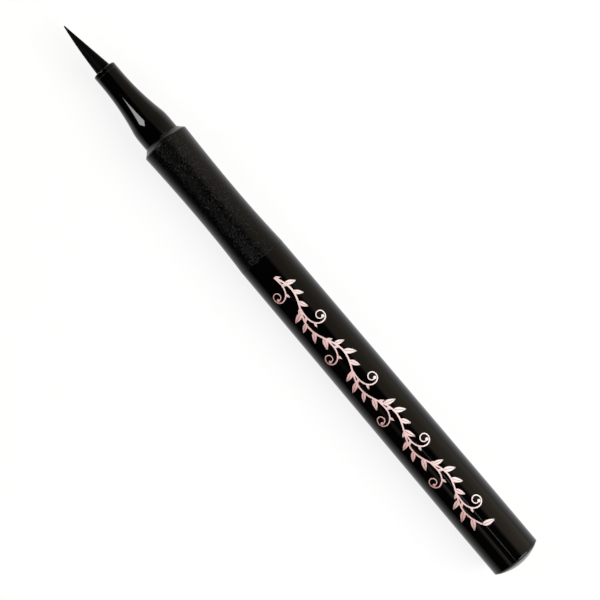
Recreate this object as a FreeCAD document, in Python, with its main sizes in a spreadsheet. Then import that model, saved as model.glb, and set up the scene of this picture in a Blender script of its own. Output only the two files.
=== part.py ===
import FreeCAD, Part
import math
import os
import re
import Sketcher

# A liquid eyeliner pen, uncapped. It lies along X with its tip towards -X, and +Z is up. The origin is on
# the surface that the pen lies on, half way along it. Lengths are in millimetres.
#
# The pen is built outwards from its standard 3 mm nib: a collar grips the nib, the nose cone holds the
# collar, the section core holds the nose cone, and the grip sleeve and the barrel go over the core. Behind
# the nib a fibre wick runs through a finned collector to the ink tank, where a loose steel ball slides.

SIZES = {
    # Clearances
    "press_fit": 0.02,
    "slide_fit": 0.05,
    "seat_gap": 0.02,
    # Nib: what shows, and the shank behind it
    "nib_dia": 3.0,
    "nib_reach": 10.9,
    "nib_point_radius": 0.14,
    "nib_point_length": 0.1,
    "nib_shank": 9.5,
    "nib_socket": 2.6,
    # Nib collar: a split bush inside the front of the nose cone
    "collar_wall": 0.4,
    "collar_length": 6.0,
    "collar_slot_width": 0.6,
    "collar_slot_length": 4.2,
    "collar_slots": 3,
    # Nose cone: a short straight front, an S-curved flare, a straight seat for the cap, then a stem
    "nose_length": 16.5,
    "nose_wall": 0.395,
    "nose_edge_round": 0.3,
    "nose_mouth_play": 0.05,
    "nose_mouth_chamfer": 0.25,
    "nose_mouth_length": 1.5,
    "lip_length": 0.9,
    "lip_groove_width": 0.14,
    "lip_groove_depth": 0.05,
    "flare_start": 2.1,
    "flare_rise": 1.265,
    "flare_crest_radius": 16.4,
    "cap_land": 1.5,
    "nose_rear_chamfer": 0.1,
    "air_bore_step": 0.5,
    "air_bore_start": 11.0,
    "stem_step": 0.45,
    "stem_length": 6.0,
    "snap_at": 3.0,
    "snap_half_width": 0.4,
    "snap_height": 0.12,
    # Section core: the chamfered shoulder, the tube under the grip, and the spigot inside the barrel
    "nose_gap": 0.05,
    "flange_length": 1.05,
    "flange_rim_length": 0.08,
    "flange_inset": 0.17,
    "core_wall": 0.68,
    "barb_height": 0.2,
    "barb_length": 0.9,
    "barb_tail": 0.25,
    "shelf_length": 1.5,
    "shelf_width": 0.85,
    # Grip sleeve: waisted, soft to the touch
    "grip_length": 27.77,
    "sleeve_wall": 0.555,
    "front_swell": 0.295,
    "waist_at": 15.0,
    "waist_depth": 0.36,
    "grip_front_chamfer": 0.1,
    "grip_rear_chamfer": 0.06,
    # Barrel: a slim draft, then a true cylinder at the rear
    "seam_gap": 0.03,
    "barrel_length": 72.3,
    "barrel_draft": 0.205,
    "rear_land": 12.5,
    "barrel_front_chamfer": 0.08,
    "barrel_rear_round": 0.42,
    "neck_length": 10.0,
    "barb_room": 0.13,
    # End plug: a ribbed skirt and a low dome
    "dome_height": 1.4,
    "dome_edge": 0.22,
    "dome_inset": 0.14,
    "dome_thickness": 1.1,
    "skirt_length": 8.6,
    "skirt_wall": 0.8,
    # Ink tank and the two plugs that close it
    "tank_wall": 0.7,
    "plug_flange": 1.0,
    "plug_depth": 4.0,
    "plug_wall": 0.8,
    "rib_height": 0.12,
    "rib_half_width": 0.35,
    # Feed: wick, collector and its seal
    "wick_dia": 1.6,
    "wick_point": 0.6,
    "wick_gap": 0.15,
    "feed_gap": 0.4,
    "tube_wall": 0.42,
    "collector_front_flange": 1.0,
    "collector_rear_flange": 1.2,
    "nozzle_length": 5.0,
    "fin_thickness": 0.45,
    "fin_count": 20,
    "slit_width": 0.3,
    "vent_width": 0.9,
    "vent_depth": 0.7,
    "seal_height": 0.96,
    "seal_width": 0.9,
    # Mixing ball
    "ball_dia": 3.5,
}

# What follows from the sizes. Radii first, from the nib outwards.
RADII = {
    "nib_radius": "nib_dia / 2",
    "collar_bore": "nib_radius + press_fit",
    "collar_radius": "collar_bore + collar_wall",
    "nose_bore": "collar_radius + press_fit",
    "nose_front_radius": "nose_bore + nose_wall",
    "nose_base_radius": "nose_front_radius + flare_rise",
    "air_bore": "nose_bore + air_bore_step",
    "stem_radius": "nose_base_radius - stem_step",
    "core_bore": "stem_radius + press_fit",
    "core_radius": "core_bore + core_wall",
    "sleeve_bore": "core_radius + press_fit",
    "waist_radius": "sleeve_bore + sleeve_wall",
    "grip_front_radius": "waist_radius + front_swell",
    "seam_radius": "waist_radius + waist_depth",
    "barrel_radius": "seam_radius + barrel_draft",
    "neck_bore": "core_radius + press_fit",
    "barrel_bore": "neck_bore + barb_height + barb_room",
    "tank_radius": "barrel_bore - slide_fit",
    "tank_bore": "tank_radius - tank_wall",
    "dome_radius": "barrel_radius - barrel_rear_round - dome_inset",
    "wick_radius": "wick_dia / 2",
    "feed_bore": "wick_radius + press_fit",
    "tube_radius": "feed_bore + tube_wall",
    "nozzle_bore": "tube_radius + press_fit",
    "gland_radius": "nozzle_bore + seal_height",
    "fin_radius": "core_bore - slide_fit",
    # The two arcs of an S-curve between level ends meet on the line between those ends.
    "flare_length": "nose_length - flare_start - cap_land",
    "flare_radii": "(flare_length ^ 2 + flare_rise ^ 2) / (2 * flare_rise)",
    "flare_hollow_radius": "flare_radii - flare_crest_radius",
    "flare_turn": "flare_hollow_radius / flare_radii",
}

# Where each piece's own zero lies on X, with the pen's middle at 0.
PLACES = {
    "core_length": "flange_length + grip_length + seam_gap + neck_length + seat_gap + barb_length + barb_tail",
    "overall": "nib_reach + nose_length + nose_gap + flange_length + grip_length + seam_gap"
    " + barrel_length + dome_height",
    "tip_at": "-overall / 2",
    "nose_at": "tip_at + nib_reach",
    "collar_at": "nose_at + nose_mouth_length + seat_gap",
    "wick_at": "nose_at + nib_shank - nib_socket + wick_gap",
    "feed_at": "nose_at + nib_shank + feed_gap",
    "core_at": "nose_at + nose_length + nose_gap",
    "grip_at": "core_at + flange_length",
    "barrel_at": "grip_at + grip_length + seam_gap",
    "collector_at": "nose_at + nose_length + stem_length + seat_gap",
    "shelf_at": "core_at + core_length - shelf_length",
    "front_plug_at": "core_at + core_length + seat_gap",
    "tank_at": "front_plug_at + plug_flange + seat_gap",
    "barrel_end": "barrel_at + barrel_length",
    "skirt_at": "barrel_end - skirt_length",
    "tank_end": "skirt_at - 2 * seat_gap - plug_flange",
    "tank_length": "tank_end - tank_at",
    "rear_plug_at": "tank_end - plug_depth",
    "ball_front": "tank_at - seat_gap + plug_depth + slide_fit + ball_dia / 2",
    "ball_rear": "rear_plug_at - slide_fit - ball_dia / 2",
}

CROWN = 1  # an arc that bulges away from the solid
HOLLOW = -1  # an arc that bulges into the solid
AXIS_ALONG_X = FreeCAD.Rotation(FreeCAD.Vector(0, 1, 0), 90)

doc = FreeCAD.newDocument("EyelinerPen")


def fill_sheet(name, cells, formula):
    """A sheet with one named cell for each entry."""
    sheet = doc.addObject("Spreadsheet::Sheet", name)
    for row, (alias, content) in enumerate(cells.items(), start=1):
        sheet.set(f"A{row}", alias)
        sheet.set(f"B{row}", formula(content))
        sheet.setAlias(f"B{row}", alias)
    doc.recompute()
    return sheet


def bound(expression):
    """The expression with each name in it pointed at the sheet that holds it."""

    def cell(word):
        for sheet, names in (("Sizes", SIZES), ("Radii", RADII), ("Places", PLACES)):
            if word.group() in names:
                return f"{sheet}.{word.group()}"
        return word.group()

    return re.sub(r"[a-z_]+", cell, expression)


sizes = fill_sheet("Sizes", SIZES, str)
fill_sheet("Radii", RADII, lambda text: "=" + bound(text))
fill_sheet("Places", PLACES, lambda text: "=" + bound(text))


def value(expression):
    """What an expression comes to now."""
    return float(sizes.evalExpression(bound(expression)))


def place(piece, at, height="barrel_radius"):
    """The piece's own zero goes to this place along X, at this height above the surface."""
    piece.setExpression(".Placement.Base.x", bound(at))
    piece.setExpression(".Placement.Base.z", bound(height))


def new_body(name, at):
    """An empty body on the pen's axis."""
    body = doc.addObject("PartDesign::Body", name)
    place(body, at)
    return body


def new_sketch(body, name, role="XZ_Plane"):
    """An empty sketch on one of the body's own planes. On XZ, its X runs along the pen."""
    sketch = body.newObject("Sketcher::SketchObject", name)
    plane = next(item for item in body.Origin.OriginFeatures if item.Role == role)
    sketch.AttachmentSupport = [(plane, "")]
    sketch.MapMode = "FlatFace"
    return sketch


def arc_between(start, end, radius, side):
    """The short arc from start to end. Seen along the way, a crown bulges to the left."""
    chord = end - start
    half = chord.Length / 2
    rise = radius - math.sqrt(radius**2 - half**2)
    left = FreeCAD.Vector(-chord.y, chord.x, 0).normalize()
    return Part.Arc(start, (start + end) / 2 + left * rise * side, end)


def pin_corner(sketch, corner, edge, end, along, out):
    """Ties one corner of an outline to its two expressions."""
    ties = (("DistanceX", "PointOnObject", -2, along), ("DistanceY", "PointOnObject", -1, out))
    for distance, on_axis, axis, expression in ties:
        if expression == "0":
            sketch.addConstraint(Sketcher.Constraint(on_axis, edge, end, axis))
            continue
        tie = Sketcher.Constraint(distance, -1, 1, edge, end, value(expression))
        index = sketch.addConstraint(tie)
        sketch.renameConstraint(index, f"{distance}{corner}")
        sketch.setExpression(f"Constraints.{distance}{corner}", bound(expression))


def draw_outline(sketch, corners):
    """A closed outline, walked with the solid on the right.

    Each corner is (along the axis, out from it). The edge that comes to it is straight, or an arc where the
    corner also gives a radius and CROWN or HOLLOW.
    """
    points = [FreeCAD.Vector(value(corner[0]), value(corner[1]), 0) for corner in corners]
    ends = []
    for index, corner in enumerate(corners):
        start, end = points[index - 1], points[index]
        if len(corner) == 2:
            sketch.addGeometry(Part.LineSegment(start, end))
            ends.append((1, 2))
            continue
        radius, side = corner[2:]
        sketch.addGeometry(arc_between(start, end, value(radius), side))
        # A sketch counts an arc's ends anticlockwise, and a crown is walked clockwise.
        ends.append((2, 1) if side == CROWN else (1, 2))
    for index, corner in enumerate(corners):
        after = (index + 1) % len(corners)
        sketch.addConstraint(
            Sketcher.Constraint("Coincident", index, ends[index][1], after, ends[after][0])
        )
        pin_corner(sketch, index, index, ends[index][1], corner[0], corner[1])
        if len(corner) == 4:
            tie = sketch.addConstraint(Sketcher.Constraint("Radius", index, value(corner[2])))
            sketch.renameConstraint(tie, f"Radius{index}")
            sketch.setExpression(f"Constraints.Radius{index}", bound(corner[2]))


def rectangle(left, right, low, high):
    """The four corners of an upright rectangle."""
    return [(left, low), (left, high), (right, high), (right, low)]


def turn(body, name, corners, kind="PartDesign::Revolution"):
    """A turned feature: the outline swept once round the pen's axis."""
    sketch = new_sketch(body, name + "_outline")
    draw_outline(sketch, corners)
    feature = body.newObject(kind, name)
    feature.Profile = sketch
    feature.ReferenceAxis = (sketch, ["H_Axis"])
    feature.Angle = 360
    doc.recompute()
    return feature


def slot(body, name, corners, width):
    """A slot of this width, cut where the outline on the XZ plane says."""
    before = body.Shape.Volume
    sketch = new_sketch(body, name + "_outline")
    draw_outline(sketch, corners)
    pocket = body.newObject("PartDesign::Pocket", name)
    pocket.Profile = sketch
    pocket.Midplane = True
    pocket.setExpression("Length", bound(width))
    doc.recompute()
    if body.Shape.Volume >= before:
        raise RuntimeError(f"{name} cuts nothing")
    return pocket


def arc_through_level_end(run, rise):
    """The radius of an arc that starts level and rises this much over this run."""
    return f"(({run}) ^ 2 + ({rise}) ^ 2) / (2 * ({rise}))"


def rib(at, base):
    """Three corners of a low round rib about this place on this base."""
    return [
        (f"{at} - rib_half_width", base),
        (at, f"{base} + rib_height"),
        (f"{at} + rib_half_width", base),
    ]


def nib():
    """A fibre nib: a straight-sided cone on a shank, with a socket for the wick."""
    point = arc_through_level_end("nib_point_radius", "nib_point_length")
    body = new_body("nib", "tip_at")
    turn(
        body,
        "nib_rod",
        [
            ("0", "0"),
            ("nib_point_length", "nib_point_radius", point, CROWN),
            ("nib_reach", "nib_radius"),
            ("nib_reach + nib_shank", "nib_radius"),
            ("nib_reach + nib_shank", "feed_bore"),
            ("nib_reach + nib_shank - nib_socket", "feed_bore"),
            ("nib_reach + nib_shank - nib_socket", "0"),
        ],
    )
    return body


def nib_collar():
    """A bush that grips the nib. Its rear half is split, so that it springs and lets air past."""
    body = new_body("nib_collar", "collar_at")
    turn(body, "collar_ring", rectangle("0", "collar_length", "collar_bore", "collar_radius"))
    cut = slot(
        body,
        "collar_slot",
        rectangle("collar_length - collar_slot_length", "collar_length + 1", "0", "collar_radius + 1"),
        "collar_slot_width",
    )
    slots = body.newObject("PartDesign::PolarPattern", "collar_split")
    slots.Originals = [cut]
    slots.Axis = (cut.Profile[0], ["H_Axis"])
    slots.Angle = 360
    slots.setExpression("Occurrences", bound("collar_slots"))
    body.Tip = slots
    return body


def nose_cone():
    """The gloss cone behind the nib, with the cap's seat at its base and a snap-in stem."""
    stem_end = "nose_length + stem_length"
    mouth = "nib_radius + nose_mouth_play"
    turn_at = "flare_start + flare_length * flare_turn"
    turn_radius = "nose_front_radius + flare_rise * flare_turn"
    snap = "nose_length + snap_at"
    body = new_body("nose_cone", "nose_at")
    turn(
        body,
        "nose_shell",
        [
            ("nose_mouth_chamfer", mouth),
            ("0", mouth + " + nose_mouth_chamfer"),
            ("0", "nose_front_radius - nose_edge_round"),
            ("nose_edge_round", "nose_front_radius", "nose_edge_round", CROWN),
            ("lip_length", "nose_front_radius"),
            ("lip_length + lip_groove_width / 2", "nose_front_radius - lip_groove_depth"),
            ("lip_length + lip_groove_width", "nose_front_radius"),
            ("flare_start", "nose_front_radius"),
            (turn_at, turn_radius, "flare_hollow_radius", HOLLOW),
            ("flare_start + flare_length", "nose_base_radius", "flare_crest_radius", CROWN),
            ("nose_length - nose_rear_chamfer", "nose_base_radius"),
            ("nose_length", "nose_base_radius - nose_rear_chamfer"),
            ("nose_length", "stem_radius"),
            (snap + " - snap_half_width", "stem_radius"),
            (snap, "stem_radius + snap_height"),
            (snap + " + snap_half_width", "stem_radius"),
            (stem_end, "stem_radius"),
            (stem_end, "air_bore"),
            ("air_bore_start", "air_bore"),
            ("air_bore_start - air_bore_step", "nose_bore"),
            ("nose_mouth_length", "nose_bore"),
            ("nose_mouth_length", mouth),
        ],
    )
    return body


def section_core():
    """The hard tube of the front section: shoulder, seat of the grip, and the barbed spigot."""
    seat_end = "flange_length + grip_length + seam_gap"
    barb = seat_end + " + neck_length + seat_gap"
    rim = "grip_front_radius - flange_inset"
    snap = "snap_at - nose_gap"
    body = new_body("section_core", "core_at")
    turn(
        body,
        "core_shell",
        [
            ("0", "core_bore"),
            ("0", "nose_base_radius"),
            ("flange_length - flange_rim_length", rim),
            ("flange_length", rim),
            ("flange_length", "core_radius"),
            (barb, "core_radius"),
            (barb, "core_radius + barb_height"),
            (barb + " + barb_length", "core_radius"),
            ("core_length", "core_radius"),
            ("core_length", "core_bore - shelf_width"),
            ("core_length - shelf_length", "core_bore - shelf_width"),
            ("core_length - shelf_length", "core_bore"),
            (snap + " + snap_half_width", "core_bore"),
            (snap, "core_bore + snap_height"),
            (snap + " - snap_half_width", "core_bore"),
        ],
    )
    return body


def grip_sleeve():
    """The waisted sleeve that the fingers hold, trapped between the shoulder and the barrel."""
    front_run = "(waist_at - grip_front_chamfer)"
    rear_run = "(grip_length - grip_rear_chamfer - waist_at)"
    body = new_body("grip_sleeve", "grip_at")
    turn(
        body,
        "sleeve_shell",
        [
            ("0", "sleeve_bore"),
            ("0", "grip_front_radius - grip_front_chamfer"),
            ("grip_front_chamfer", "grip_front_radius"),
            ("waist_at", "waist_radius", arc_through_level_end(front_run, "front_swell"), HOLLOW),
            (
                "grip_length - grip_rear_chamfer",
                "seam_radius",
                arc_through_level_end(rear_run, "waist_depth"),
                HOLLOW,
            ),
            ("grip_length", "seam_radius - grip_rear_chamfer"),
            ("grip_length", "sleeve_bore"),
        ],
    )
    return body


def feed_wick():
    """The fibre rod that carries ink from the tank to the nib, pointed at its front end."""
    wick_end = "(tank_at - seat_gap + plug_depth - wick_gap - wick_at)"
    body = new_body("feed_wick", "wick_at")
    turn(
        body,
        "wick_rod",
        [
            ("0", "0"),
            ("0", "wick_radius / 2"),
            ("wick_point", "wick_radius"),
            (wick_end, "wick_radius"),
            (wick_end, "0"),
        ],
    )
    return body


def collector():
    """The finned feed: a tube with a stack of thin discs, an ink slit below and an air channel above."""
    front = "(collector_at - feed_at)"
    rear = "(shelf_at - seat_gap - feed_at)"
    first_gap = f"({front} + collector_front_flange)"
    last_gap = f"({rear} - collector_rear_flange)"
    pitch = f"(({last_gap} - {first_gap}) / (fin_count + 1))"
    body = new_body("collector", "feed_at")
    turn(
        body,
        "collector_stem",
        [
            ("0", "feed_bore"),
            ("0", "tube_radius"),
            (front, "tube_radius"),
            (front, "fin_radius"),
            (first_gap, "fin_radius"),
            (first_gap, "tube_radius"),
            (last_gap, "tube_radius"),
            (last_gap, "fin_radius"),
            (rear, "fin_radius"),
            (rear, "tube_radius"),
            (rear + " + nozzle_length", "tube_radius"),
            (rear + " + nozzle_length", "feed_bore"),
        ],
    )
    fin_front = f"{first_gap} + {pitch} - fin_thickness / 2"
    fin_rear = f"{first_gap} + {pitch} + fin_thickness / 2"
    fin = turn(
        body,
        "fin",
        rectangle(fin_front, fin_rear, "tube_radius - tube_wall / 2", "fin_radius"),
    )
    fins = body.newObject("PartDesign::LinearPattern", "fin_stack")
    fins.Originals = [fin]
    fins.Direction = (fin.Profile[0], ["H_Axis"])
    fins.setExpression("Occurrences", bound("fin_count"))
    fins.setExpression("Length", bound(f"{pitch} * (fin_count - 1)"))
    body.Tip = fins
    doc.recompute()
    slot(body, "ink_slit", rectangle(front, rear, "-fin_radius - 1", "0"), "slit_width")
    slot(
        body,
        "air_channel",
        rectangle(front + " - 1", last_gap, "fin_radius - vent_depth", "fin_radius + 1"),
        "vent_width",
    )
    return body


def collector_seal():
    """The square-cut rubber ring that seals the collector's nozzle in the tank's front plug."""
    body = new_body("collector_seal", "front_plug_at")
    turn(
        body,
        "seal_ring",
        rectangle("0", "seal_width", "nozzle_bore + press_fit", "gland_radius - press_fit"),
    )
    return body


def tank_front_plug():
    """The ribbed plug in the tank's front end, bored for the nozzle, with the gland of its seal."""
    end = "plug_flange + plug_depth"
    plug = "tank_bore - press_fit - rib_height"
    body = new_body("tank_front_plug", "front_plug_at")
    turn(
        body,
        "front_plug_body",
        [
            ("0", "gland_radius"),
            ("0", "tank_radius"),
            ("plug_flange", "tank_radius"),
            ("plug_flange", plug),
            *rib("plug_flange + plug_depth / 3", plug),
            *rib("plug_flange + 2 * plug_depth / 3", plug),
            (end, plug),
            (end, "nozzle_bore"),
            ("seal_width + slide_fit", "nozzle_bore"),
            ("seal_width + slide_fit", "gland_radius"),
        ],
    )
    return body


def lying_cylinder(name, radius, length, start="0"):
    """A plain cylinder along X."""
    rod = doc.addObject("Part::Cylinder", name)
    rod.Placement.Rotation = AXIS_ALONG_X
    rod.setExpression("Radius", bound(radius))
    rod.setExpression("Height", bound(length))
    rod.setExpression(".Placement.Base.x", bound(start))
    return rod


def ink_tank():
    """The plain tube that holds the ink."""
    tube = doc.addObject("Part::Cut", "ink_tank")
    tube.Base = lying_cylinder("tank_outside", "tank_radius", "tank_length")
    tube.Tool = lying_cylinder("tank_inside", "tank_bore", "tank_length + 2", "-1")
    place(tube, "tank_at")
    return tube


def mixing_ball():
    """The loose steel ball that stirs the ink. It lies on the bottom of the tank's bore."""
    ball = doc.addObject("Part::Sphere", "mixing_ball")
    ball.setExpression("Radius", bound("ball_dia / 2"))
    place(ball, "ball_front", "barrel_radius - tank_bore + ball_dia / 2 + slide_fit")
    return ball


def tank_rear_plug():
    """The ribbed cup that closes the tank's rear end."""
    plug = "tank_bore - press_fit - rib_height"
    flange = "plug_depth + seat_gap"
    end = flange + " + plug_flange"
    body = new_body("tank_rear_plug", "rear_plug_at")
    turn(
        body,
        "rear_plug_body",
        [
            ("0", "0"),
            ("0", plug),
            *rib("plug_depth / 3", plug),
            *rib("2 * plug_depth / 3", plug),
            (flange, plug),
            (flange, "tank_radius"),
            (end, "tank_radius"),
            (end, plug + " - plug_wall"),
            ("plug_wall", plug + " - plug_wall"),
            ("plug_wall", "0"),
        ],
    )
    return body


def barrel():
    """The gloss barrel: a slim draft, a straight rear, a narrow neck for the spigot and a wide bore."""
    body = new_body("barrel", "barrel_at")
    turn(
        body,
        "barrel_shell",
        [
            ("0", "neck_bore"),
            ("0", "seam_radius - barrel_front_chamfer"),
            ("barrel_front_chamfer", "seam_radius"),
            ("barrel_length - rear_land", "barrel_radius"),
            ("barrel_length - barrel_rear_round", "barrel_radius"),
            ("barrel_length", "barrel_radius - barrel_rear_round", "barrel_rear_round", CROWN),
            ("barrel_length", "barrel_bore"),
            ("neck_length", "barrel_bore"),
            ("neck_length", "neck_bore"),
        ],
    )
    return body


def end_plug():
    """The domed plug in the barrel's rear end. Its skirt keeps the tank from sliding back."""
    skirt = "barrel_bore - press_fit - rib_height"
    face = "skirt_length + seat_gap"
    dome = "(dome_height - dome_edge - seat_gap)"
    crown = arc_through_level_end("dome_radius", dome)
    body = new_body("end_plug", "skirt_at")
    turn(
        body,
        "plug_shell",
        [
            ("0", skirt + " - skirt_wall"),
            ("0", skirt),
            *rib("skirt_length / 4", skirt),
            *rib("3 * skirt_length / 4", skirt),
            (face, skirt),
            (face, "dome_radius"),
            (face + " + dome_edge", "dome_radius"),
            ("skirt_length + dome_height", "0", crown, CROWN),
            ("skirt_length + dome_height - dome_thickness", "0"),
            ("skirt_length + dome_height - dome_thickness", skirt + " - skirt_wall"),
        ],
    )
    return body


def check(piece):
    """Stops the build if a piece, or anything it is made of, is broken."""
    for item in doc.Objects:
        if "Invalid" in item.State or "Error" in item.State:
            raise RuntimeError(f"{item.Name} is {item.State}")
    if piece.Shape.isNull() or not piece.Shape.isValid():
        raise RuntimeError(f"{piece.Name} has no valid shape")
    if len(piece.Shape.Solids) != 1:
        raise RuntimeError(f"{piece.Name} has {len(piece.Shape.Solids)} solids")


PIECES = (
    nib,
    nib_collar,
    nose_cone,
    section_core,
    grip_sleeve,
    feed_wick,
    collector,
    collector_seal,
    tank_front_plug,
    ink_tank,
    mixing_ball,
    tank_rear_plug,
    barrel,
    end_plug,
)

pieces = [make() for make in PIECES]
doc.recompute()
os.makedirs("parts", exist_ok=True)
for piece in pieces:
    check(piece)
    piece.Shape.exportStep(os.path.join("parts", piece.Label + ".step"))
    print(f"{piece.Label}: {piece.Shape.Volume:.1f} mm3")
print(f"overall {value('overall'):.2f} mm, barrel {2 * value('barrel_radius'):.2f} mm across")
print(f"the ball slides {value('ball_rear - ball_front'):.2f} mm from {value('ball_front'):.2f}")
print(f"ink space {math.pi * value('tank_bore') ** 2 * value('tank_length') / 1000:.2f} ml at most")
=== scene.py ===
# %% [markdown]
# # A liquid eyeliner pen
#
# The pen was modelled in CAD as fourteen pieces. This lesson loads them, turns finer copies of the pieces
# that show, stamps a foil ornament on the barrel, and lights the pen as a small gloss black object is
# lit.

# %% Load the CAD model
import math

import bmesh
import bpy
from mathutils import Matrix, Vector


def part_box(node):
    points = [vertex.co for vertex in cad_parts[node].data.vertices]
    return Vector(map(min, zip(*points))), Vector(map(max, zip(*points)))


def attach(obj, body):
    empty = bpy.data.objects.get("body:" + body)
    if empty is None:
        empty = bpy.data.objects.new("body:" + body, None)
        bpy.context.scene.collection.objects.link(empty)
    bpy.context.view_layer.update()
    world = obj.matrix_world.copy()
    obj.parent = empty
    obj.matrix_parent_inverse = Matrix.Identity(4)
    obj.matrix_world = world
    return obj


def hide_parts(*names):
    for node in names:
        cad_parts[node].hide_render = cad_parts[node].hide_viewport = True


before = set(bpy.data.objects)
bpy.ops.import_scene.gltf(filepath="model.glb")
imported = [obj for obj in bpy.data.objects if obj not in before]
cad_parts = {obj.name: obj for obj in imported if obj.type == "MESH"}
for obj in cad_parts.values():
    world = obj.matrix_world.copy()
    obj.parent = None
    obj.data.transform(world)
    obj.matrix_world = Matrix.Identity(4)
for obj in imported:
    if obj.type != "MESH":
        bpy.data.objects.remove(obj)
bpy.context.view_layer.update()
print("nodes:", ", ".join(sorted(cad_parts)))

# %% [markdown]
# ## Sizes
#
# The CAD model gives where each piece starts and ends. What it can't give, such as the radius of an edge,
# is named here in millimetres. The pen lies along X, so a place on it is a distance along X and a
# distance out from its axis.

# %% Sizes from the frame
MM = 0.001


def extent(node):
    """Where a node starts and ends along the pen, and its largest radius, in millimetres."""
    low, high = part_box(node)
    return low.x / MM, high.x / MM, (high.y - low.y) / 2 / MM


tip_x, nib_end, nib_radius = extent("nib")
nose_x, stem_end, _ = extent("nose_cone")
core_x, core_end, _ = extent("section_core")
grip_x, grip_end, _ = extent("grip_sleeve")
barrel_x, barrel_end, barrel_radius = extent("barrel")
plug_x, dome_x, _ = extent("end_plug")
axis_z = (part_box("barrel")[0].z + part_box("barrel")[1].z) / 2 / MM
print(f"the pen is {dome_x - tip_x:.1f} mm long and {2 * barrel_radius:.2f} mm across")

# %% [markdown]
# ## The lathe
#
# Nearly every piece of a pen is turned: one outline, swept once round the axis. A hand-made mesh would
# do, but a Geometry Nodes tree is a lathe that any outline can be put into. Curve to Mesh carries the
# outline round a circle. The tree then welds the poles, keeps true corners sharp and shades the rest
# smooth.
#
# One function adds a node with its settings and its links. Each kind of node could have a short function
# of its own, but that would hide Blender's names for the nodes, which a learner needs.

# %% One function adds a node


def add(tree, kind, inputs=None, **settings):
    """Adds a node. Each input is a value, an output, a node for its first output, or a list of these."""
    node = tree.nodes.new(kind)
    for name, value in settings.items():
        setattr(node, name, value)
    for name, given in (inputs or {}).items():
        for value in given if isinstance(given, list) else [given]:
            if isinstance(value, bpy.types.Node):
                value = value.outputs[0]
            if isinstance(value, bpy.types.NodeSocket):
                tree.links.new(value, node.inputs[name])
            else:
                node.inputs[name].default_value = value
    return node


# %% [markdown]
# ### Open, close and run a tree
#
# Each tree starts with its named inputs and ends by making instances real and setting the material. It
# could stay on its piece as a live modifier, but a plain mesh can be measured and exported as it is. So
# the tree is run once, and what comes out is kept.

# %% Open, close and run a tree


def new_tree(name, **inputs):
    """An empty geometry tree with a geometry input and output, and a named input for each size."""
    tree = bpy.data.node_groups.new(name, "GeometryNodeTree")
    tree.interface.new_socket("Geometry", in_out="INPUT", socket_type="NodeSocketGeometry")
    for label, kind in inputs.items():
        tree.interface.new_socket(label, in_out="INPUT", socket_type="NodeSocket" + kind)
    tree.interface.new_socket("Geometry", in_out="OUTPUT", socket_type="NodeSocketGeometry")
    return tree, tree.nodes.new("NodeGroupInput").outputs


def end_tree(tree, geometry, material):
    """Realizes instances, sets the material and hands the geometry out."""
    real = add(tree, "GeometryNodeRealizeInstances", {"Geometry": geometry})
    dressed = add(tree, "GeometryNodeSetMaterial", {"Geometry": real, "Material": material})
    add(tree, "NodeGroupOutput", {"Geometry": dressed})
    print(f"the tree {tree.name} has {len(tree.nodes)} nodes")


def grow(piece, tree, **values):
    """Runs a tree on a piece and keeps what comes out as the piece's plain mesh."""
    modifier = piece.modifiers.new(tree.name, "NODES")
    modifier.node_group = tree
    for socket in tree.interface.items_tree:
        if socket.name in values:
            modifier[socket.identifier] = values[socket.name]
    result = piece.evaluated_get(bpy.context.evaluated_depsgraph_get())
    mesh = bpy.data.meshes.new_from_object(result)
    piece.modifiers.clear()
    piece.data = mesh


# %% [markdown]
# ### Soft faces, sharp corners
#
# A turned surface is made of flat facets, and smooth shading hides them. Shaded smooth all over, though,
# a piece loses its corners and looks like soap. So the edges that bend by more than a set angle are kept
# sharp.

# %% Soft faces, sharp corners
SHARP = math.radians(28)  # more than any step of an arc, and less than any corner that shows
WELD = 0.0005 * MM


def soften(tree, mesh):
    """Welds a mesh, shades it smooth and keeps its true corners sharp."""
    welded = add(tree, "GeometryNodeMergeByDistance", {"Geometry": mesh, "Distance": WELD})
    smooth = add(tree, "GeometryNodeSetShadeSmooth", {"Geometry": welded})
    angle = add(tree, "GeometryNodeInputMeshEdgeAngle").outputs["Unsigned Angle"]
    corner = add(tree, "FunctionNodeCompare", {"A": angle, "B": SHARP})
    return add(
        tree,
        "GeometryNodeSetShadeSmooth",
        {"Geometry": smooth, "Selection": corner, "Shade Smooth": False},
        domain="EDGE",
    )


# %% [markdown]
# ### The lathe itself
#
# Curve to Mesh needs no Screw or Spin operator, and it closes the ring by itself. The outline lies at its
# own distance from the circle's centre, and the finished ring is laid down along X, at the height of the
# pen's axis.

# %% The lathe's tree
RING = 10 * MM  # the circle that carries the outline; any radius does, as the outline is moved to suit
ALONG_X = (0, math.radians(-90), 0)


def lathe_tree():
    """Turns the outline that it is given round X."""
    tree, given = new_tree("lathe", Segments="Int", Height="Float", Material="Material")
    outline = add(tree, "GeometryNodeMeshToCurve", {"Mesh": given["Geometry"]})
    ring = {"Resolution": given["Segments"], "Radius": RING}
    circle = add(tree, "GeometryNodeCurvePrimitiveCircle", ring, mode="RADIUS")
    upright = add(tree, "GeometryNodeSetCurveNormal", {"Curve": circle}, mode="Z_UP")
    swept = add(tree, "GeometryNodeCurveToMesh", {"Curve": upright, "Profile Curve": outline})
    height = add(tree, "ShaderNodeCombineXYZ", {"Z": given["Height"]})
    laid = {"Geometry": swept, "Rotation": ALONG_X, "Translation": height}
    end_tree(tree, soften(tree, add(tree, "GeometryNodeTransform", laid)), given["Material"])
    return tree


LATHE = lathe_tree()

# %% [markdown]
# ## Outlines
#
# An outline is a short list of corners, walked with the solid on the right. A corner is a place along the
# pen and a radius. An edge is straight, unless its end corner also gives the radius of an arc and which
# way it bulges. A Bezier curve could be the outline too, but an engineer's drawing gives corners and
# radii.

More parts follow.
